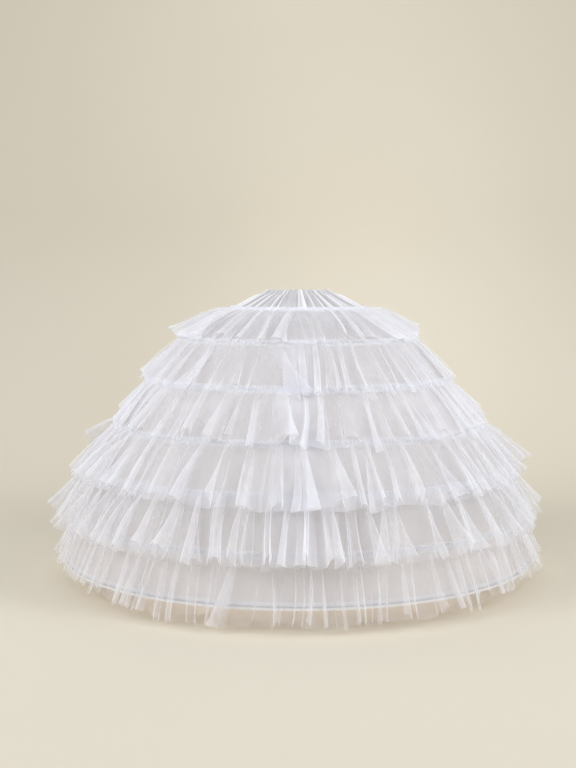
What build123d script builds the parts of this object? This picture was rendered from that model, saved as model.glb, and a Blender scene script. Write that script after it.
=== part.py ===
from build123d import *
import os
from math import cos, degrees, hypot, radians, sin

# A floor-length ball-gown crinoline, held at the waist.  A domed skirt base of taffeta is cut in
# tiers, a casing sewn over each seam carries a spring-steel hoop, and a gathered tulle ruffle is
# sewn on at the yoke seam and at every hoop but the hem's.
# Millimetres.  The origin is the centre of the waist opening at the band's mid height, +Z is up
# and the centre back is on +Y.  Every piece is a solid of revolution about Z or an arc of one.

# ---- Driving dimensions ------------------------------------------------------------------------
# Waistband: a cloth channel with an elastic in it, slotted at the centre back.
WAIST_RADIUS = 118.0
BAND_HEIGHT = 16.0
BAND_WALL = 0.9
BAND_SLOT_LENGTH = 18.0
ELASTIC_WIDTH = 11.0
ELASTIC_THICKNESS = 1.4
ELASTIC_CLEARANCE = 0.25

# Skirt base: where the outer face of the cloth stands at the yoke seam and at each hoop.
YOKE_SEAM_RADIUS = 274.0
YOKE_SEAM_DROP = 67.0
HOOP_RADII = (473.0, 600.0, 730.0, 827.0, 881.0, 930.0)
HOOP_DROPS = (186.0, 345.0, 523.0, 690.0, 881.0, 1041.0)
CLOTH_THICKNESS = 1.5
YOKE_HEAD = 4.0
YOKE_LAND = 14.0

# Hoops: flat spring steel, its ends pushed into a sleeve at the centre back.
HOOP_WIDTH = 9.0
HOOP_THICKNESS = 1.5
HOOP_END_GAP = 1.0
JOINER_LENGTH = 40.0
JOINER_WALL = 0.8
JOINER_CLEARANCE = 0.15

# Casings: tape sewn down along both edges, left open where the hoop goes in.
CASING_WIDTH = 26.0
CASING_WALL = 0.8
CASING_MARGIN = 4.0
CASING_CLEARANCE = 0.4
CASING_MOUTH = 50.0

# Ruffles: the length of each from its seam to its hem, and how many degrees it stands off the
# tier beneath it.
RUFFLE_LENGTHS = (237.0, 236.0, 216.0, 269.0, 270.0, 248.0)
RUFFLE_LIFTS = (9.3, 12.8, 14.2, 19.2, 30.5, 15.6)
RUFFLE_HEADER = 7.0
RUFFLE_HEADER_THICKNESS = 2.0
RUFFLE_HEM_THICKNESS = 9.0
RUFFLE_ARCH = 10.0
SEWN_GAP = 0.2


# ---- Points and directions in the half plane of (radius, height) -------------------------------
def moved(point, direction, along, out=0.0):
    """A point moved along a direction, and square to it, away from the wearer."""
    radius, height = point
    across, down = direction
    return (radius + across * along - down * out, height + down * along + across * out)


def heading(start, end):
    """The direction from one point to another."""
    across, down = end[0] - start[0], end[1] - start[1]
    length = hypot(across, down)
    return (across / length, down / length)


def between(first, second):
    """The direction halfway between two others."""
    return heading((0, 0), (first[0] + second[0], first[1] + second[1]))


def raised(direction, angle):
    """A direction turned up and outwards by an angle in degrees."""
    across, down = direction
    turn_cos, turn_sin = cos(radians(angle)), sin(radians(angle))
    return (across * turn_cos - down * turn_sin, across * turn_sin + down * turn_cos)


def arch_middle(start, end):
    """The middle of an arched run, raised from the straight line between its ends."""
    middle = ((start[0] + end[0]) / 2, (start[1] + end[1]) / 2)
    return moved(middle, heading(start, end), 0, RUFFLE_ARCH)


def mitred(points, thickness):
    """The outline of a sheet whose outer face follows points, mitred at its bends."""
    runs = [heading(a, b) for a, b in zip(points, points[1:])]
    inner = [moved(points[0], runs[0], 0, -thickness)]
    for point, before, after in zip(points[1:], runs, runs[1:]):
        middle = between(before, after)
        half_turn_cosine = before[0] * middle[0] + before[1] * middle[1]
        inner.append(moved(point, middle, 0, -thickness / half_turn_cosine))
    inner.append(moved(points[-1], runs[-1], 0, -thickness))
    return points + inner[::-1]


# ---- Solids ------------------------------------------------------------------------------------
def section(outside, hole=None):
    """A flat section from (radius, height) points, with an optional hole."""
    face = make_face(Polyline(in_plane(outside), close=True))
    if hole:
        face -= make_face(Polyline(in_plane(hole), close=True))
    return face


def in_plane(points):
    """Points of (radius, height) as points in space."""
    return [(radius, 0, height) for radius, height in points]


def ring(face):
    """A closed ring."""
    return revolve(face, Axis.Z, 360)


def open_ring(face, radius, mouth):
    """A ring with a mouth of that length at the centre back."""
    mouth_angle = degrees(mouth / radius)
    return Rot(0, 0, 90 + mouth_angle / 2) * revolve(face, Axis.Z, 360 - mouth_angle)


def short_arc(face, radius, length):
    """An arc of that length, centred on the centre back."""
    angle = degrees(length / radius)
    return Rot(0, 0, 90 - angle / 2) * revolve(face, Axis.Z, angle)


# ---- The skirt's outline -----------------------------------------------------------------------
channel_in = WAIST_RADIUS + BAND_WALL
channel_out = channel_in + ELASTIC_THICKNESS + 2 * ELASTIC_CLEARANCE
yoke_top = (channel_out + BAND_WALL, -BAND_HEIGHT / 2)
yoke_bend = moved(yoke_top, (0, -1), YOKE_HEAD)
seams = [(YOKE_SEAM_RADIUS, -YOKE_SEAM_DROP)]
seams += [(radius, -drop) for radius, drop in zip(HOOP_RADII, HOOP_DROPS)]
slopes = [heading(a, b) for a, b in zip([yoke_bend] + seams, seams)]
# At each seam the cloth lies flat for the width of what is sewn over it.
lands = [between(a, b) for a, b in zip(slopes, slopes[1:])] + [slopes[-1]]
land_halves = [YOKE_LAND / 2] + [CASING_WIDTH / 2] * len(HOOP_RADII)


# ---- Waist -------------------------------------------------------------------------------------
def upright(inner, outer, height):
    """A rectangle between two radii, centred on the band's mid height."""
    half = height / 2
    return [(inner, -half), (outer, -half), (outer, half), (inner, half)]


def waistband():
    channel_height = ELASTIC_WIDTH + 2 * ELASTIC_CLEARANCE
    channel = upright(channel_in, channel_out, channel_height)
    band = ring(section(upright(WAIST_RADIUS, yoke_top[0], BAND_HEIGHT), channel))
    # The slot goes through the inner ply only, for threading the elastic.
    slot_reach = channel_in - WAIST_RADIUS + ELASTIC_CLEARANCE
    slot = Pos(0, WAIST_RADIUS, 0) * Box(BAND_SLOT_LENGTH, 2 * slot_reach, channel_height)
    return band - slot


def waist_elastic():
    inner = channel_in + ELASTIC_CLEARANCE
    return ring(section(upright(inner, inner + ELASTIC_THICKNESS, ELASTIC_WIDTH)))


# ---- Skirt base --------------------------------------------------------------------------------
def yoke():
    """The gathered panel from the waistband down to the middle of the yoke seam."""
    enter = moved(seams[0], lands[0], -land_halves[0])
    return ring(section(mitred([yoke_top, yoke_bend, enter, seams[0]], CLOTH_THICKNESS)))


def tier(number):
    """The cloth from the middle of one seam to the middle of the next, or to the hem."""
    above, below = seams[number - 1], seams[number]
    leave = moved(above, lands[number - 1], land_halves[number - 1])
    enter = moved(below, lands[number], -land_halves[number])
    end = below
    if number == len(HOOP_RADII):
        end = moved(below, lands[number], land_halves[number])
    return ring(section(mitred([above, leave, enter, end], CLOTH_THICKNESS)))


# ---- Hoops and casings -------------------------------------------------------------------------
tape_plies = 2 * CASING_WALL
channel_depth = HOOP_THICKNESS + 2 * CASING_CLEARANCE
channel_width = HOOP_WIDTH + 2 * CASING_CLEARANCE
casing_depth = tape_plies + channel_depth
hoop_middle_out = SEWN_GAP + CASING_WALL + channel_depth / 2


def on_land(number, corners):
    """Corners given as (along, out) on a hoop's land, as (radius, height) points."""
    return [moved(seams[number], lands[number], along, out) for along, out in corners]


def strip(number, width, thickness):
    """The section of a flat strip that lies along a hoop's land, at the hoop's depth."""
    low, high = hoop_middle_out - thickness / 2, hoop_middle_out + thickness / 2
    corners = [(-width / 2, low), (width / 2, low), (width / 2, high), (-width / 2, high)]
    return on_land(number, corners)


def casing(number):
    """Two plies of tape, sewn together along their edges, round a channel for the hoop."""
    edge = CASING_WIDTH / 2
    shoulder = edge - CASING_MARGIN
    crown = channel_width / 2 + CASING_WALL
    bottom, ply, top = SEWN_GAP, SEWN_GAP + tape_plies, SEWN_GAP + casing_depth
    right = [(edge, bottom), (edge, ply), (shoulder, ply), (crown, top)]
    left = [(-along, out) for along, out in right[::-1]]
    channel = strip(number, channel_width, channel_depth)
    return open_ring(section(on_land(number, right + left), channel), seams[number][0], CASING_MOUTH)


def hoop(number):
    face = section(strip(number, HOOP_WIDTH, HOOP_THICKNESS))
    return open_ring(face, seams[number][0], HOOP_END_GAP)


def hoop_joiner(number):
    gap = 2 * JOINER_CLEARANCE
    wall = gap + 2 * JOINER_WALL
    outside = strip(number, HOOP_WIDTH + wall, HOOP_THICKNESS + wall)
    inside = strip(number, HOOP_WIDTH + gap, HOOP_THICKNESS + gap)
    return short_arc(section(outside, inside), seams[number][0], JOINER_LENGTH)


# ---- Ruffles -----------------------------------------------------------------------------------
def ruffle(number):
    """The envelope of a gathered ruffle: a flat header, then an arched fall that thickens."""
    seam, land = seams[number - 1], lands[number - 1]
    if number == 1:
        # The first ruffle is sewn straight onto the cloth.
        top, foot = -YOKE_LAND / 2, RUFFLE_HEADER - YOKE_LAND / 2
        inner = [moved(seam, land, top, SEWN_GAP), moved(seam, land, foot, SEWN_GAP)]
        clear = SEWN_GAP
    else:
        # The others are sewn onto a casing's upper margin and step up over its crown.
        top, foot = -CASING_WIDTH / 2, CASING_MARGIN - CASING_WIDTH / 2
        lie = 2 * SEWN_GAP + tape_plies
        clear = 2 * SEWN_GAP + casing_depth
        inner = [moved(seam, land, top, lie), moved(seam, land, foot, lie)]
        inner.append(moved(seam, land, foot, clear))
    outer = [moved(seam, land, x, clear + RUFFLE_HEADER_THICKNESS) for x in (top, foot)]
    fall = raised(slopes[number], RUFFLE_LIFTS[number - 1])
    hem_out = moved(seam, fall, RUFFLE_LENGTHS[number - 1])
    hem_in = moved(hem_out, heading(outer[-1], hem_out), 0, -RUFFLE_HEM_THICKNESS)
    outer_arc = in_plane([outer[-1], arch_middle(outer[-1], hem_out), hem_out])
    inner_arc = in_plane([hem_in, arch_middle(inner[-1], hem_in), inner[-1]])
    outline = [
        Polyline(in_plane(inner[::-1] + outer)),
        ThreePointArc(*outer_arc),
        Line(*in_plane([hem_out, hem_in])),
        ThreePointArc(*inner_arc),
    ]
    return ring(make_face(outline))


# ---- One file for each piece -------------------------------------------------------------------
pieces = {
    "waistband_casing": waistband(),
    "waist_elastic": waist_elastic(),
    "yoke_panel": yoke(),
}
for number in range(1, len(HOOP_RADII) + 1):
    pieces[f"skirt_tier_{number}"] = tier(number)
    pieces[f"hoop_casing_{number}"] = casing(number)
    pieces[f"steel_hoop_{number}"] = hoop(number)
    pieces[f"hoop_joiner_{number}"] = hoop_joiner(number)
    pieces[f"tulle_ruffle_{number}"] = ruffle(number)

os.makedirs("parts", exist_ok=True)
for name, piece in pieces.items():
    export_step(piece, f"parts/{name}.step")
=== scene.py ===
import math
from typing import NamedTuple

import bpy
import numpy as np
from mathutils import Euler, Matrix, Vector


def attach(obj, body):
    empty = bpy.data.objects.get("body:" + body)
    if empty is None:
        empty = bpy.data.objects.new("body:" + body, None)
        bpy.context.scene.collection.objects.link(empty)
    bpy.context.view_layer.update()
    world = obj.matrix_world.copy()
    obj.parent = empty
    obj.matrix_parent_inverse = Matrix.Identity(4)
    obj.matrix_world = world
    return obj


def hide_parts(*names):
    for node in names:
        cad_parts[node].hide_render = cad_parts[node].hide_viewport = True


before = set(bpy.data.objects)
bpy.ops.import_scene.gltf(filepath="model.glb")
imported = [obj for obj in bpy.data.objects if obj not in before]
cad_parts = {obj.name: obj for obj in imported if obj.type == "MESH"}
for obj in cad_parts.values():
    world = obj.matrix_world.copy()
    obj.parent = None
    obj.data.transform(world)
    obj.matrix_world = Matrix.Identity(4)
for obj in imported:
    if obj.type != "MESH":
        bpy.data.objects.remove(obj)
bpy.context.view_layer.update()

# A hooped petticoat: a gathered waistband and yoke, a taffeta base in six tiers, a tape casing over
# each hoop, and six tulle ruffles of two plies each.  The hoops and their joiners are the CAD
# model's own, with better materials.  All the cloth is made here.
# Metres, in the CAD model's frame: the origin is the middle of the waist opening, +Z is up and the
# centre back is on +Y.  Angles round the skirt start there, and the wearer's right is at 90 degrees.
TAU = 2 * math.pi

# ---- The CAD model's sizes ----------------------------------------------------------------------
BAND_RADIUS = 0.118
BAND_HEIGHT = 0.016
ELASTIC_WIDTH = 0.011
YOKE_TOP = (0.1222, -0.008)
YOKE_SEAM = (0.274, -0.067)
YOKE_LAND = 0.014
HOOP_RADII = (0.473, 0.600, 0.730, 0.827, 0.881, 0.930)
HOOP_DROPS = (0.186, 0.345, 0.523, 0.690, 0.881, 1.041)
CASING_WIDTH = 0.026
CASING_DEPTH = 0.0041
CASING_MOUTH = 0.050

# ---- The cloth's sizes --------------------------------------------------------------------------
# The gathers round the waist: how many, where the waistband ends and the yoke begins, how far they
# stand out there, and how far round they lean, in radians.
WAIST_GATHERS = 36
BAND_FOOT = (0.137, -0.008)
GATHER_HEIGHT = 0.0085
GATHER_LEAN = 0.035
WAIST_COLUMNS = 1500
# How far out of the waistband's inside the elastic lies.
ELASTIC_OUT = 0.0018

# The base's ripples, and how far the cloth falls in between its seams.
BASE_RIPPLES = 64
RIPPLE_HEIGHT = 0.0022
BASE_FALL_IN = 0.0035
BASE_COLUMNS = 540

# A casing's tape is wider than the casing, for its way up over the hoop.
TAPE_PUCKER = 0.0007

# The floor under the skirt, and the height that no net falls below.
FLOOR = -1.128
HEM_FLOOR = -1.112


class Ruffle(NamedTuple):
    """A ruffle: its length and lift in the CAD model, then how its net is cut and folded."""

    length: float
    # Degrees that it stands off the tier under it.
    lift: float
    # The net's length as a share of the CAD ruffle's.
    cut: float
    # Big folds in its outer ply.
    folds: int
    # How far out a usual crest stands, as a share of the lift.
    stand: float
    # How much more of its lift it has at the seam, which rounds its profile.
    arch: float
    # How much shorter it is at the sides than in front, as a share.
    side_trim: float
    # How much thinner the net is all over, and how much denser at the sides.
    sheer: float
    side_fullness: float
    # The most that a crest may stand out, and the stiff folds that stand furthest, each as degrees
    # round from the centre back and a share of the lift.
    highest: float = math.inf
    proud: tuple = ()


RUFFLES = (
    Ruffle(0.237, 9.3, 1.05, folds=24, stand=0.82, arch=1.9, side_trim=0.03, sheer=0.07, side_fullness=0.3,
           proud=((76, 1.4), (91, 1.6), (269, 1.7), (284, 1.5))),
    Ruffle(0.236, 12.8, 1.04, folds=42, stand=0.5, arch=0.5, side_trim=0.08, sheer=0.0, side_fullness=0.1),
    Ruffle(0.216, 14.2, 1.15, folds=44, stand=0.55, arch=0.4, side_trim=0.08, sheer=-0.04, side_fullness=0.35,
           proud=((80, 1.1), (277, 1.2))),
    Ruffle(0.269, 19.2, 0.98, folds=56, stand=0.72, arch=0.3, side_trim=0.03, sheer=0.0, side_fullness=0.25,
           proud=((70, 2.0), (290, 1.9))),
    Ruffle(0.270, 30.5, 0.96, folds=66, stand=0.78, arch=0.25, side_trim=0.01, sheer=0.04, side_fullness=0.0,
           highest=1.0, proud=((93, 1.0), (268, 1.0))),
    Ruffle(0.248, 15.6, 1.04, folds=76, stand=0.8, arch=0.3, side_trim=0.26, sheer=0.10, side_fullness=-0.08),
)


class Ply(NamedTuple):
    """One of a ruffle's two plies, mostly as shares of the ruffle's own measures."""

    name: str
    seed: int
    length: float
    lift: float
    folds: float
    # Mesh columns in each fold.
    columns: int
    # How much narrower the crests are, how far the cloth doubles back, and how sharp its creases are.
    narrowing: float
    doubling: float
    creasing: float
    # How far out it is sewn on.
    out: float


INNER = Ply("inner", 97, length=0.97, lift=0.62, folds=0.8, columns=26, narrowing=0.5, doubling=0.4,
            creasing=0.35, out=0.0)
OUTER = Ply("outer", 194, length=1.0, lift=1.0, folds=1.0, columns=36, narrowing=1.0, doubling=1.0,
            creasing=1.0, out=0.0012)
RUFFLE_ROWS = 16

# How the big folds differ from each other: in width, in how far out their crests and valleys stand,
# and in the share of them that stands far out.
FOLD_WIDTH_SPREAD = 0.45
CREST_SPREAD = 0.16
VALLEY_SHARE = 0.28
VALLEY_SPREAD = 0.1
FAR_SHARE = 0.1
# The most cloth that doubles back under one crest.
DOUBLE_LIMIT = 0.22
# The fine gathers along the stitches.
GATHERS_PER_FOLD = 4
GATHER_DEPTH = 0.0011
# Where the pressed creases run down a fold, as shares of its width, and how wide they and the milky
# crest between them are.
CREASE_PLACES = (0.37, 0.63)
CREASE_WIDTH = 0.035
CREST_WIDTH = 0.15


# ---- Directions in the half plane of (radius, height) -------------------------------------------
def heading(start, end):
    """The direction from one point to another."""
    across = np.subtract(end, start)
    return across / np.hypot(*across)


def outward(direction):
    """The direction square to another, away from the wearer."""
    return np.array([-direction[1], direction[0]])


def raised(direction, angle):
    """A direction turned up and outwards by angles in radians."""
    across, down = direction
    turn_cos, turn_sin = np.cos(angle), np.sin(angle)
    return np.stack([across * turn_cos - down * turn_sin, across * turn_sin + down * turn_cos], axis=-1)


# Seam 0 is the yoke's, and seams 1 to 6 lie under the hoops.  Slope n is the cloth's above seam n, and
# land n is its direction at the seam, where it lies flat under what is sewn over it.
seams = [YOKE_SEAM] + [(radius, -drop) for radius, drop in zip(HOOP_RADII, HOOP_DROPS)]
slopes = [heading(a, b) for a, b in zip([YOKE_TOP] + seams, seams)]
lands = [heading((0, 0), a + b) for a, b in zip(slopes, slopes[1:])] + [slopes[-1]]
land_halves = [YOKE_LAND / 2] + [CASING_WIDTH / 2] * len(HOOP_RADII)
hoops = range(1, len(HOOP_RADII) + 1)


# ---- Noise and meshes ---------------------------------------------------------------------------
def wobble(rng, angle, fewest, most, count):
    """A smooth random wave round the skirt, about -1 to 1: a sum of sines that meet at the back."""
    total = np.zeros_like(angle)
    for _ in range(count):
        total += np.sin(rng.integers(fewest, most) * angle + rng.uniform(0, TAU))
    return total / math.sqrt(count / 2)


def all_round(columns):
    """The angles of that many columns, evenly round the skirt."""
    return np.arange(columns) / columns * TAU


def in_space(radius, height, angle):
    """Points from their radius, height and angle."""
    return np.stack([-radius * np.sin(angle), radius * np.cos(angle), height + 0 * angle], axis=-1)


def placed(start, along, out, direction, angle):
    """A row of points that far along a direction from a start, and square to it."""
    normal = outward(direction)
    radius = start[0] + direction[0] * along + normal[0] * out
    height = start[1] + direction[1] * along + normal[1] * out
    return in_space(radius, height, angle)


def grid_object(name, points, material, closed=True, **values):
    """A mesh from rows of points that run down the cloth, with values as its attributes."""
    rows, columns = points.shape[:2]
    index = np.arange(rows * columns).reshape(rows, columns)
    right = np.roll(index, -1, axis=1)
    if not closed:
        index, right = index[:, :-1], right[:, :-1]
    quads = np.stack([index[:-1], right[:-1], right[1:], index[1:]], axis=-1).reshape(-1, 4)
    mesh = bpy.data.meshes.new(name)
    mesh.vertices.add(rows * columns)
    mesh.vertices.foreach_set("co", points.reshape(-1, 3).astype(np.float32).ravel())
    mesh.loops.add(quads.size)
    mesh.loops.foreach_set("vertex_index", quads.ravel().astype(np.int32))
    mesh.polygons.add(len(quads))
    mesh.polygons.foreach_set("loop_start", np.arange(0, quads.size, 4, dtype=np.int32))
    mesh.polygons.foreach_set("use_smooth", np.ones(len(quads), dtype=bool))
    for key, value in values.items():
        layer = mesh.attributes.new(key, "FLOAT", "POINT")
        layer.data.foreach_set("value", value.reshape(-1).astype(np.float32))
    mesh.update()
    mesh.validate()
    mesh.materials.append(material)
    thing = bpy.data.objects.new(name, mesh)
    bpy.context.scene.collection.objects.link(thing)
    return thing


def declare(thing, node):
    """Rides a piece of cloth on the skirt and hides the CAD part that it takes the place of, if it is given
    one.
    """
    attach(thing, "root")
    if node:
        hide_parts(node)


# ---- Materials ----------------------------------------------------------------------------------
class Nodes:
    """A short way to build the node tree of a material or a world."""

    def __init__(self, owner, output="ShaderNodeOutputMaterial"):
        owner.use_nodes = True
        self.owner, self.tree = owner, owner.node_tree
        self.tree.nodes.clear()
        self.output = self.add(output)

    def add(self, kind, settings=None, **inputs):
        """A node, its inputs named with underscores for spaces."""
        node = self.tree.nodes.new(kind)
        for key, value in (settings or {}).items():
            setattr(node, key, value)
        for key, value in inputs.items():
            self.feed(node.inputs[key.replace("_", " ")], value)
        return node

    def feed(self, socket, value):
        if isinstance(value, bpy.types.NodeSocket):
            self.tree.links.new(value, socket)
        else:
            socket.default_value = value

    def math(self, operation, first, second=0.0, clamp=False):
        node = self.add("ShaderNodeMath", {"operation": operation, "use_clamp": clamp})
        self.feed(node.inputs[0], first)
        self.feed(node.inputs[1], second)
        return node.outputs[0]

    def mix(self, share, first, second):
        """Two shaders mixed, with that share of the second."""
        node = self.add("ShaderNodeMixShader", Fac=share)
        self.feed(node.inputs[1], first)
        self.feed(node.inputs[2], second)
        return node.outputs[0]

    def shader(self, kind, **inputs):
        return self.add(f"ShaderNodeBsdf{kind}", **inputs).outputs[0]

    def attribute(self, name):
        return self.add("ShaderNodeAttribute", {"attribute_name": name}).outputs["Fac"]

    def ramp(self, value, stops):
        node = self.add("ShaderNodeValToRGB", Fac=value)
        elements = node.color_ramp.elements
        while len(elements) < len(stops):
            elements.new(0.5)
        for element, (place, colour) in zip(elements, stops):
            element.position, element.color = place, (*colour, 1)
        return node.outputs["Color"]

    def noise(self, scale, detail=2.0):
        place = self.add("ShaderNodeTexCoord").outputs["Object"]
        return self.add("ShaderNodeTexNoise", Vector=place, Scale=scale, Detail=detail).outputs["Fac"]

    def mottled(self, scale, dark, light, detail=3.0, spread=0.2):
        """A colour that drifts between two others in soft patches."""
        return self.ramp(self.noise(scale, detail), [(0.5 - spread, dark), (0.5 + spread, light)])

    def weave(self, scale, strength, depth):
        """A normal for the fine relief of woven cloth."""
        relief = self.add("ShaderNodeBump", Strength=strength, Distance=depth, Height=self.noise(scale))
        return relief.outputs["Normal"]

    def finish(self, surface):
        self.feed(self.output.inputs["Surface"], surface)
        return self.owner


# Each weave's scale, strength and depth.
CLOTH_WEAVE = (220.0, 0.15, 0.002)
TAPE_WEAVE = (300.0, 0.2, 0.001)


def tulle_material(name, cover):
    """Stiff net.  Its cover grows with the length of the way through it, as it turns edge-on."""
    n = Nodes(bpy.data.materials.new(name))
    cloud = n.noise(11.0, 1.0)
    patchy = n.math("ADD", 0.6, n.math("MULTIPLY", cloud, 0.8))
    creased = n.math("ADD", 1.0, n.math("MULTIPLY", n.attribute("crease"), 3.0))
    thick = n.math("MULTIPLY", n.math("MULTIPLY", creased, cover), patchy)
    facing = n.add("ShaderNodeLayerWeight").outputs["Facing"]
    way_through = n.math("DIVIDE", thick, n.math("SUBTRACT", 1.1, facing))
    clear = n.math("EXPONENT", n.math("MULTIPLY", way_through, -1.0))
    colour = n.ramp(cloud, [(0.3, (0.93, 0.935, 0.97)), (0.7, (0.955, 0.96, 0.99))])
    net = n.mix(0.5, n.shader("Diffuse", Color=colour), n.shader("Translucent", Color=colour))
    return n.finish(n.mix(n.math("SUBTRACT", 1.0, clear, clamp=True), n.shader("Transparent"), net))


def taffeta_material(name, dark, light):
    """Crisp plain cloth with a faint sheen, that lets some light through."""
    n = Nodes(bpy.data.materials.new(name))
    colour = n.mottled(4.0, dark, light)
    weave = n.weave(*CLOTH_WEAVE)
    cloth = n.shader("Principled", Base_Color=colour, Roughness=0.6, Sheen_Weight=0.1, Normal=weave)
    return n.finish(n.mix(0.45, cloth, n.shader("Translucent", Color=colour)))


def tape_material(name, middle, foot):
    """White tape with paler stitched edges, whose middle lets the hoop's coat show through."""
    n = Nodes(bpy.data.materials.new(name))
    edge, ply = (0.80, 0.80, 0.805), (0.745, 0.742, 0.75)
    stops = [(0.0, edge), (0.07, edge), (0.13, ply), (0.42, ply), (0.50, middle), (0.62, middle),
             (0.72, foot), (1.0, foot)]
    colour = n.ramp(n.attribute("across"), stops)
    cloth = n.shader("Principled", Base_Color=colour, Roughness=0.75, Normal=n.weave(*TAPE_WEAVE))
    return n.finish(n.mix(0.25, cloth, n.shader("Translucent", Color=colour)))


def cotton_material(name):
    """White cotton, with painted shade in the deep creases beside each gather and a painted highlight along
    its ridge.
    """
    n = Nodes(bpy.data.materials.new(name))
    uneven = n.math("MULTIPLY", n.math("SUBTRACT", n.noise(14.0, 3.0), 0.5), 0.25)
    # Dark stops for the painted shade in the creases, the light stop for the painted highlight on the ridges.
    stops = [(0.0, (0.26, 0.252, 0.255)), (0.25, (0.40, 0.389, 0.396)), (0.5, (0.51, 0.498, 0.506)),
             (1.0, (0.78, 0.772, 0.785))]
    colour = n.ramp(n.math("ADD", n.attribute("shade"), uneven), stops)
    return n.finish(n.shader("Principled", Base_Color=colour, Roughness=0.85, Normal=n.weave(*CLOTH_WEAVE)))


def elastic_material(name):
    """Covered elastic with a fine weave."""
    n = Nodes(bpy.data.materials.new(name))
    colour = n.mottled(40.0, (0.8, 0.8, 0.78), (0.86, 0.86, 0.84))
    return n.finish(n.shader("Principled", Base_Color=colour, Roughness=0.8, Normal=n.weave(*CLOTH_WEAVE)))


def hard_material(name, dark, light, metallic, roughness):
    """A smooth hard surface with a faint unevenness."""
    n = Nodes(bpy.data.materials.new(name))
    colour = n.mottled(60.0, dark, light, spread=0.15)
    return n.finish(n.shader("Principled", Base_Color=colour, Metallic=metallic, Roughness=roughness))


tulle = {INNER: tulle_material("tulle_inner", 0.22), OUTER: tulle_material("tulle_outer", 0.19)}
taffeta = taffeta_material("taffeta", (0.67, 0.665, 0.681), (0.715, 0.71, 0.726))
# A darker copy of the taffeta, as painted shade: the first tier lies in less light, between the yoke and the
# first hoop.
taffeta_painted_shade = taffeta_material("taffeta_painted_shade", (0.575, 0.571, 0.588), (0.62, 0.616, 0.633))
cotton = cotton_material("cotton")
tape = tape_material("casing_tape", (0.73, 0.728, 0.735), (0.80, 0.80, 0.805))
hem_tape = tape_material("hem_tape", (0.56, 0.55, 0.55), (0.93, 0.93, 0.935))
elastic_cloth = elastic_material("elastic_cloth")
hoop_coat = hard_material("hoop_coat", (0.55, 0.56, 0.58), (0.62, 0.63, 0.65), 0.0, 0.45)
joiner_steel = hard_material("joiner_steel", (0.55, 0.55, 0.57), (0.66, 0.66, 0.68), 1.0, 0.35)


# ---- Waistband, elastic and yoke ----------------------------------------------------------------
class Gathers:
    """The gathers round the waist, by angle: ridges from 0 to 1, small folds between them, how strong
    and which way over each is, and the cloth's painted shading: painted shade in the creases beside the
    ridges and a painted highlight along them."""

    def __init__(self, angle):
        rng = np.random.default_rng(11)
        # Two slow waves space the ridges unevenly, and a third makes some of them narrower.
        phase = WAIST_GATHERS * angle + 1.5 * wobble(rng, angle, 3, 12, 5)
        phase = phase + 0.7 * wobble(rng, angle, 11, 25, 4)
        phase = phase + 0.75 * np.sin(phase + 2.2 * wobble(rng, angle, 3, 11, 4))
        self.ridge = (0.5 + 0.5 * np.cos(phase)) ** 2.8
        self.small = 0.5 + 0.5 * np.sin(2.7 * phase + 2.0 * wobble(rng, angle, 9, 31, 4))
        self.strength = np.clip(0.9 + 0.35 * wobble(rng, angle, 7, 19, 5), 0.3, 1.6)
        self.side = np.tanh(3 * np.sin(angle) + 0.8 * wobble(rng, angle, 5, 14, 4))
        # A crease runs beside each ridge, on the side that it leans away from, and is darkened there with
        # painted shade.
        beside = np.angle(np.exp(1j * (phase - 1.15 * self.side)))
        crease = np.exp(-((beside / 0.42) ** 2)) * np.clip(self.strength - 0.25, 0.1, 1)
        # Painted shading: a painted highlight along the ridges and on the small folds, painted shade in the
        # creases.
        shade = 0.47 + 0.5 * self.ridge * self.strength + 0.08 * (self.small - 0.5) - 0.5 * crease
        self.shade = np.clip(shade, 0, 1)


def gathered_object(name, rows, gathers):
    """Gathered cotton from rows of points that share one set of gathers and their painted shading."""
    return grid_object(name, np.stack(rows), cotton, shade=np.tile(gathers.shade, (len(rows), 1)))


def make_waistband():
    """A strip folded over the elastic and gathered: up the outside, over the top and down inside."""
    angle = all_round(WAIST_COLUMNS)
    gathers = Gathers(angle)
    # Radius, height, how far the gathers stand out and how far they lift the top edge.
    outline = [(*BAND_FOOT, GATHER_HEIGHT, 0), (0.1324, -0.0044, 0.0076, 0), (0.1280, 0, 0.0064, 0),
               (0.1242, 0.0040, 0.0050, 0.0004), (0.1214, 0.0070, 0.0036, 0.0014),
               (0.1196, 0.0086, 0.0020, 0.0022), (0.1187, 0.0086, 0.0007, 0.0016),
               (0.1182, 0.0070, 0, 0.0005), (BAND_RADIUS, 0.0040, 0, 0), (BAND_RADIUS, 0, 0, 0),
               (BAND_RADIUS, -BAND_HEIGHT / 2, 0, 0)]
    swell = gathers.strength * (gathers.ridge + 0.35 * gathers.small)
    rows = []
    for radius, height, out, up in outline:
        turn = angle - GATHER_LEAN * gathers.side * gathers.ridge * out / GATHER_HEIGHT
        rows.append(in_space(radius + out * swell, height + up * (swell - 0.5), turn))
    band = gathered_object("waistband_gathered", rows, gathers)
    declare(band, "waistband_casing")


def make_elastic():
    """A loop of elastic, pulled round inside the waistband."""
    radius, half = BAND_RADIUS + ELASTIC_OUT, ELASTIC_WIDTH / 2
    angle = all_round(240)
    strip = np.stack([in_space(radius, height, angle) for height in np.linspace(half, -half, 4)])
    loop = grid_object("waist_elastic_loop", strip, elastic_cloth)
    declare(loop, "waist_elastic")


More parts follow.
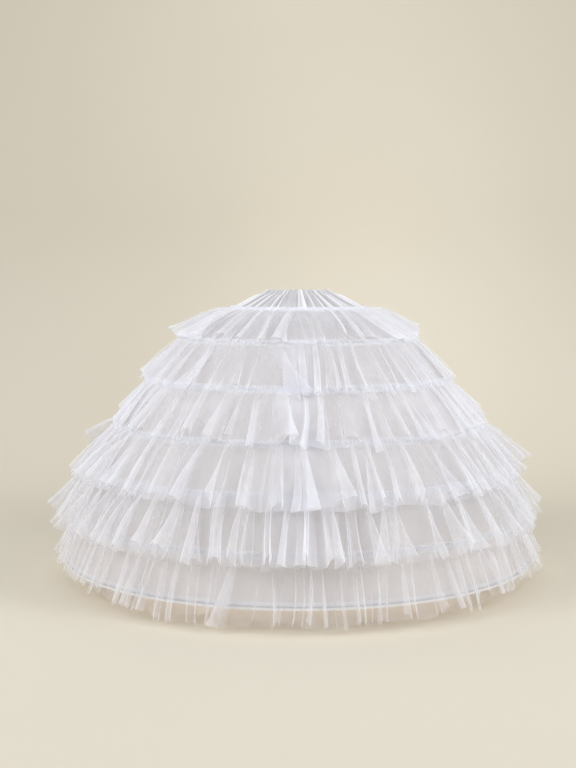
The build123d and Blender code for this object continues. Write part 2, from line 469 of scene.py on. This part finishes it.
def make_yoke():
    """The panel under the waistband, whose gathers run down to the first ruffle's seam."""
    angle = all_round(WAIST_COLUMNS)
    gathers = Gathers(angle)
    top = np.array(BAND_FOOT)
    end = np.array(seams[0]) + lands[0] * land_halves[0]
    normal = outward(slopes[0])
    rows = []
    for t in np.linspace(0, 1, 19):
        place = top * (1 - t) + end * t
        # The gathers are tallest a little over a third of the way down, and pressed flatter at the seam.
        height = GATHER_HEIGHT + 0.004 * math.sin(math.pi * min(t * 1.3, 1))
        height = height * (1 - 1.4 * max(t - 0.75, 0))
        out = gathers.strength * (height * gathers.ridge + 0.003 * (1 - t) ** 2 * gathers.small)
        # The cloth between them falls in.
        out -= 0.008 * math.sin(math.pi * t) + 0.004 * t
        turn = angle - (GATHER_LEAN + 0.03 * math.sin(math.pi * t)) * gathers.side * gathers.ridge
        # They stand out level from the band, and square to the cloth lower down.
        radius = place[0] + out * (1 - t * (1 - normal[0]))
        rows.append(in_space(radius, place[1] + normal[1] * out * t ** 0.4, turn))
    panel = gathered_object("yoke_gathered", rows, gathers)
    declare(panel, "yoke_panel")


# ---- Skirt base and casings ---------------------------------------------------------------------
def make_tier(number):
    """One band of the base, lightly rippled, and held in at the seam above and the one below."""
    rng = np.random.default_rng(40 + number)
    above, below = np.array(seams[number - 1]), np.array(seams[number])
    leave = above + lands[number - 1] * land_halves[number - 1]
    enter = below - lands[number] * land_halves[number]
    angle = all_round(BASE_COLUMNS)
    phase = BASE_RIPPLES * angle + 2.5 * wobble(rng, angle, 4, 15, 5)
    ripple = np.sin(phase) + 0.5 * np.sin(1.7 * phase + 3 * wobble(rng, angle, 5, 19, 4))
    drift = wobble(rng, angle, 6, 24, 5)
    # Each row's place, and how free of its seams it is.
    rows = [(above, 0.0), (leave, 0.12)]
    for t in np.linspace(0.1, 0.9, 8):
        rows.append((leave * (1 - t) + enter * t, 0.25 + 0.75 * math.sin(math.pi * t)))
    rows += [(enter, 0.12), (below, 0.0)]
    if number == len(HOOP_RADII):
        rows.append((below + lands[number] * land_halves[number], 0.0))
    made = []
    for place, free in rows:
        out = free * (RIPPLE_HEIGHT * (ripple + drift) - BASE_FALL_IN)
        made.append(placed(place, 0.0, out, slopes[number], angle))
    points = np.stack(made)
    # The first tier takes the darker copy of the taffeta, which is painted shade.
    panel = grid_object(f"skirt_base_{number}", points, taffeta_painted_shade if number == 1 else taffeta)
    declare(panel, f"skirt_tier_{number}")


def make_casing(number):
    """Tape over a hoop, flat along both sewn edges, open at the centre back."""
    rng = np.random.default_rng(60 + number)
    radius = seams[number][0]
    half_mouth = CASING_MOUTH / radius / 2
    angle = np.linspace(half_mouth, TAU - half_mouth, BASE_COLUMNS)
    pucker = TAPE_PUCKER * wobble(rng, angle, 90, 260, 6)
    # Half its section: the way from the middle, how far out it lies, and how much it puckers there.
    half = [(0.0045, CASING_DEPTH, 0.5), (0.0062, 0.0034, 0.8), (0.0088, 0.0014, 0.2), (0.0098, 0.0016, 0.3),
            (0.0118, 0.0016, 0.3), (CASING_WIDTH / 2, 0.0004, 0.15)]
    section = [(-along, out, loose) for along, out, loose in half[::-1]]
    section += [(0.0, CASING_DEPTH + 0.0002, 0.3)] + half
    points = np.stack([placed(seams[number], along, out + loose * pucker, lands[number], angle)
                       for along, out, loose in section])
    across = np.repeat([[along / CASING_WIDTH + 0.5] for along, _, _ in section], BASE_COLUMNS, axis=1)
    material = hem_tape if number == len(HOOP_RADII) else tape
    band = grid_object(f"casing_band_{number}", points, material, closed=False, across=across)
    declare(band, f"hoop_casing_{number}")


# ---- Ruffles ------------------------------------------------------------------------------------
def smoothstep(x):
    return x * x * (3 - 2 * x)


class Folds:
    """The big folds of one ply, of random widths, and where each column of its mesh lies in them."""

    def __init__(self, rng, count, columns):
        widths = rng.lognormal(0.0, FOLD_WIDTH_SPREAD, count)
        self.count = count
        self.edges = np.concatenate([[0], np.cumsum(widths)]) / widths.sum() * TAU
        self.which = np.repeat(np.arange(count), columns)
        # From 0 to 1 across each fold, from valley to valley, and the angle round the skirt there.
        self.across = np.tile(np.arange(columns) / columns, count)
        self.width = np.diff(self.edges)[self.which]
        self.angle = self.edges[self.which] + self.width * self.across
        # From 0 in the valleys to 1 on the crests.
        self.rise = 0.5 - 0.5 * np.cos(TAU * self.across)

    def each(self, values):
        """One value for each fold, for every column of it."""
        return values[self.which]

    def chance(self, rng, low, high):
        """A random value from 0 to 1 for each fold, for every column of it, and 0 where it falls lower."""
        return self.each(np.clip(rng.uniform(low, high, self.count), 0, 1))

    def band(self, place, width, power=2):
        """A line down each fold, at that place across it."""
        return np.exp(-((self.across - place) / width) ** power)


def fold_levels(rng, folds, ruffle, ply):
    """How far out each column stands, as a share of the ruffle's lift, and which folds are stiff."""
    groups = wobble(rng, (folds.edges[:-1] + folds.edges[1:]) / 2, 5, 15, 5)
    stand, count = ruffle.stand, folds.count
    crest = stand + CREST_SPREAD * groups + CREST_SPREAD * rng.normal(0, 1, count)
    crest = np.clip(crest, stand - 0.3, stand + 0.4)
    far = rng.random(count) < FAR_SHARE
    crest = np.where(far, np.maximum(crest, stand + rng.uniform(0.25, 0.6, count)), crest)
    crest = np.minimum(crest, ruffle.highest)
    stiff = np.zeros(count)
    for degrees, level in ruffle.proud if ply is OUTER else ():
        fold = np.searchsorted(folds.edges, math.radians(degrees)) - 1
        crest[fold], stiff[fold] = level, 0.9
    valley = VALLEY_SHARE + 0.09 * groups + VALLEY_SPREAD * rng.normal(0, 1, count)
    valley = stand * np.clip(valley, 0.06, 0.5)
    nearer = np.where(folds.across < 0.5, folds.each(valley), folds.each(np.roll(valley, -1)))
    level = nearer * (1 - folds.rise) + folds.each(crest) * folds.rise
    skew = np.sin(TAU * folds.across) * np.sin(math.pi * folds.across) ** 2
    return level + folds.each(rng.normal(0, 0.1, count)) * skew, stiff


def fold_swing(rng, folds, hoop_radius, ply):
    """How far each column moves round, in its fold's widths: crests are narrower than the flats
    between them, and the cloth doubles back under them."""
    narrow = folds.each(rng.uniform(0.2, 1.5, folds.count)) * ply.narrowing
    double = folds.each(rng.uniform(0.7, 2.3, folds.count)) * ply.doubling
    double = np.minimum(double, DOUBLE_LIMIT / (folds.width * hoop_radius))
    across = TAU * folds.across
    return narrow * np.sin(across) / TAU + double * np.sin(2 * across) / (2 * TAU)


def fine_gathers(points, fall, size, phase):
    """The points with fine gathers square to the cloth, that are lost in the big folds lower down."""
    around = np.roll(points, -1, axis=1) - np.roll(points, 1, axis=1)
    square = np.cross(np.gradient(points, axis=0), around)
    square /= np.linalg.norm(square, axis=-1, keepdims=True) + 1e-9
    small = GATHER_DEPTH * np.exp(-((fall - 0.08) / 0.16) ** 2) * size * np.sin(phase)
    small[0] = 0
    return points + square * small[..., None]


def creases(rng, folds, fall, number, ply, phase, stiff, seam_density):
    """How much denser the net looks: pressed creases, milky crests, fine lines and the seam."""
    ruffle = RUFFLES[number - 1]
    left, right = (folds.chance(rng, -0.9, 1.0) * folds.band(place, CREASE_WIDTH) for place in CREASE_PLACES)
    milk = folds.chance(rng, -0.3, 0.6) * folds.band(0.5, CREST_WIDTH, power=4)
    lines = 0.3 * folds.chance(rng, -1.2, 0.5) * np.clip(np.sin(phase), 0, 1) ** 4
    # At the wearer's two sides the creases are softer.
    sideways = np.sin(folds.angle) ** 4
    crease = (left + right) * (1 - 0.6 * sideways) * (0.35 + 0.65 * fall)
    crease = crease + milk * (0.5 + 0.5 * fall) + lines * (1 - 0.5 * fall)
    streaks = np.clip(np.sin(6 * TAU * folds.across), 0, 1) ** 3
    crease = crease + folds.each(stiff) * (0.4 + 0.6 * streaks)
    crease = crease * ply.creasing + seam_density * np.exp(-fall / 0.03)
    if 1 < number < len(RUFFLES):
        # The net's ends overlap at the centre front.
        crease = crease + 0.6 * np.exp(-((folds.angle - math.pi) / 0.09) ** 2)
    return np.clip(crease - ruffle.sheer + ruffle.side_fullness * sideways, -0.28, 1.5)


def make_ruffle(number, ply):
    """One ply of gathered tulle: folds that stand up from the seam and double back under their crests."""
    ruffle = RUFFLES[number - 1]
    seam, land, slope = np.array(seams[number - 1]), lands[number - 1], slopes[number]
    # How far out and how far up the cloth its stitches run, its frill, and how dense it looks there.
    if number == 1:
        # The first ruffle is sewn straight onto the cloth, and its frill covers the yoke's seam.
        sewn_out, stitches_up, frill, seam_density, held_by = 0.0022, 0.0, 0.009, 1.5, "yoke_gathered"
    else:
        # The others are sewn along a casing's upper edge and fall over its crown.
        sewn_out, stitches_up, frill, seam_density = CASING_DEPTH + 0.0012, 0.0108, 0.004, 0.3
        held_by = f"casing_band_{number - 1}"
    length = ruffle.length * ruffle.cut * ply.length
    lift = math.radians(ruffle.lift) * ply.lift

    rng = np.random.default_rng(1000 * number + ply.seed)
    folds = Folds(rng, round(ruffle.folds * ply.folds), ply.columns)
    level, stiff = fold_levels(rng, folds, ruffle, ply)
    swing = fold_swing(rng, folds, seams[number][0], ply)
    lean = folds.each(rng.normal(0, 0.3, folds.count)) * folds.rise
    phase = TAU * GATHERS_PER_FOLD * (folds.across + folds.which)
    phase = phase + 1.5 * wobble(rng, folds.angle, 20, 60, 6)
    gather_size = np.clip(0.6 + 0.5 * wobble(rng, folds.angle, 15, 60, 5), 0, 1.6)
    bend = wobble(rng, folds.angle, 9, 28, 6)
    twist = wobble(rng, folds.angle, 8, 26, 6)
    droop = wobble(rng, folds.angle, 8, 30, 5)
    longer = folds.each(np.clip(rng.normal(0.02, 0.06, folds.count), -0.07, 0.2))
    longer = longer * np.sin(math.pi * folds.across) ** 2

    # A short frill stands up above the row of stitches, and the rest falls from it.
    normal = outward(land)
    top = seam - land * stitches_up + normal * (sewn_out + ply.out)
    frill_edge = top - land * frill + normal * 0.6 * frill
    rows = [placed(frill_edge, 0.0, 0.002 * np.sin(phase) * gather_size, land, folds.angle)]
    fall = np.linspace(0, 1, RUFFLE_ROWS) ** 1.15
    for v in fall:
        halfway = math.sin(math.pi * v)
        share = level * (1 + ruffle.arch * (1 - v) ** 1.9) + 0.08 * (1 - v)
        share = share + 0.09 * bend * halfway * (1 - 0.4 * v) + 0.05 * droop * v * v
        direction = raised(slope, lift * share)
        trimmed = length * (1 - ruffle.side_trim * np.sin(folds.angle) ** 2)
        reach = trimmed * v * (1 + longer * v - 0.05 * level * v)
        reach = np.minimum(reach, (top[1] - HEM_FLOOR) / np.maximum(-direction[:, 1], 0.05))
        radius, height = top[0] + direction[:, 0] * reach, top[1] + direction[:, 1] * reach
        opening = 0.3 + 0.7 * smoothstep(min(v / 0.45, 1))
        angle = folds.angle + folds.width * (swing * opening + lean * v)
        angle = angle + 0.012 * twist * math.sin(math.pi * v * 0.9) / (0.4 + radius)
        rows.append(in_space(radius, height, angle))

    fall = np.concatenate([[0], fall])[:, None]
    points = fine_gathers(np.stack(rows), fall, gather_size, phase)
    crease = creases(rng, folds, fall, number, ply, phase, stiff, seam_density)
    thing = grid_object(f"tulle_ruffle_{number}_{ply.name}", points, tulle[ply], crease=crease)
    declare(thing, f"tulle_ruffle_{number}" if ply is OUTER else None)


def finish_hardware(number):
    """The CAD hoop and joiner, in coated steel and bare steel."""
    for node, material, slot in ((f"steel_hoop_{number}", hoop_coat, "hoop_coat"),
                                 (f"hoop_joiner_{number}", joiner_steel, "joiner_steel")):
        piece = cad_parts[node]
        piece.data.materials.clear()
        piece.data.materials.append(material)


make_waistband()
make_elastic()
make_yoke()
for number in hoops:
    make_tier(number)
    make_casing(number)
    make_ruffle(number, INNER)
    make_ruffle(number, OUTER)
for number in hoops:
    finish_hardware(number)

# ---- Stage --------------------------------------------------------------------------------------
PAPER_HALF_WIDTH = 6.4
PAPER_FRONT = -9.0
SWEEP_START = 1.6
SWEEP_RADIUS = 1.6
WALL_TOP = 8.0
FLOOR_HALF_WIDTH = 40.0
FLOOR_GAP = 0.004


def paper_material():
    """Cream paper that is see-through from its other side, so it hides nothing from behind."""
    n = Nodes(bpy.data.materials.new("studio_paper"))
    colour = n.mottled(0.35, (0.57, 0.524, 0.427), (0.60, 0.558, 0.463), detail=2.0)
    paper = n.shader("Principled", Base_Color=colour, Roughness=0.9)
    behind = n.add("ShaderNodeNewGeometry").outputs["Backfacing"]
    return n.finish(n.mix(behind, paper, n.shader("Transparent")))


def wide_sheet(name, profile, half_width, material):
    """A sheet with one profile of (y, z) points all the way across."""
    rows = [[(x, y, z) for x in (-half_width, half_width)] for y, z in profile]
    return grid_object(name, np.array(rows), material, closed=False)


def make_stage():
    """A cream floor, and paper on it that sweeps up into a backdrop behind the skirt."""
    material = paper_material()
    profile = [(PAPER_FRONT, FLOOR), (SWEEP_START, FLOOR)]
    for angle in np.linspace(0.1, math.pi / 2, 14):
        rise = SWEEP_RADIUS * (1 - math.cos(angle))
        profile.append((SWEEP_START + SWEEP_RADIUS * math.sin(angle), FLOOR + rise))
    profile.append((SWEEP_START + SWEEP_RADIUS, FLOOR + WALL_TOP))
    paper = wide_sheet("studio_paper", profile, PAPER_HALF_WIDTH, material)
    ground = [(y, FLOOR - FLOOR_GAP) for y in (-FLOOR_HALF_WIDTH, FLOOR_HALF_WIDTH)]
    floor = wide_sheet("studio_floor", ground, FLOOR_HALF_WIDTH, material)


def area_light(name, place, target, side, power, colour):
    """A square light that the camera doesn't see."""
    data = bpy.data.lights.new(name, "AREA")
    data.shape, data.size, data.energy, data.color = "SQUARE", side, power, colour
    light = bpy.data.objects.new(name, data)
    light.location = place
    light.rotation_euler = (Vector(target) - Vector(place)).to_track_quat("-Z", "Y").to_euler()
    light.visible_camera = False
    bpy.context.scene.collection.objects.link(light)


def make_world():
    """Soft light, brighter from above, in front of a plain cream background."""
    n = Nodes(bpy.data.worlds.new("studio"), "ShaderNodeOutputWorld")
    way = n.add("ShaderNodeTexCoord").outputs["Generated"]
    height = n.add("ShaderNodeSeparateXYZ", Vector=way).outputs["Z"]
    low, high = ([share * channel for channel in (0.92, 0.942, 1.0)] for share in (0.46, 0.99))
    sky = n.ramp(height, [(0.0, low), (0.9, high)])
    seen = n.add("ShaderNodeLightPath").outputs["Is Camera Ray"]
    colour = n.add("ShaderNodeMixRGB", Fac=seen, Color1=sky, Color2=(0.60, 0.56, 0.47, 1))
    return n.finish(n.add("ShaderNodeBackground", Color=colour.outputs["Color"]).outputs[0])


def make_camera():
    """A camera in front of the skirt, just above its waist, turned a little down and to one side."""
    down, aside = 4.79, 0.46
    data = bpy.data.cameras.new("camera")
    data.sensor_width = 36
    data.lens = 58.172
    data.clip_end = 60
    camera = bpy.data.objects.new("camera", data)
    camera.location = (0, -5.0, 0.048)
    camera.rotation_euler = Euler((math.radians(90 - down), 0, math.radians(aside)))
    bpy.context.scene.collection.objects.link(camera)
    return camera


COOL = (0.98, 0.986, 1.0)
SKIRT_MIDDLE = (0, 0, -0.5)

make_stage()
area_light("key_left", (-4.6, -3.0, 3.0), SKIRT_MIDDLE, 2.6, 170, COOL)
area_light("key_right", (4.6, -3.0, 3.0), SKIRT_MIDDLE, 2.6, 180, COOL)
area_light("top", (0, 2.2, 3.2), (0, 0, -1.0), 1.2, 12, (0.985, 0.99, 1.0))
# A soft glow on the backdrop behind the skirt, and warm light on the floor under it.
area_light("glow", (0.45, 1.4, 0.3), (0.45, 3.2, 0.2), 0.5, 8, (1.0, 0.985, 0.95))
area_light("under", (0, 0, -0.8), (0, 0, -2), 1.0, 6.6, (1.0, 0.80, 0.62))

scene = bpy.context.scene
scene.world = make_world()
scene.camera = make_camera()
scene.view_settings.view_transform = "Standard"
# A look through the skirt crosses many plies of see-through net.
scene.cycles.transparent_max_bounces = 48
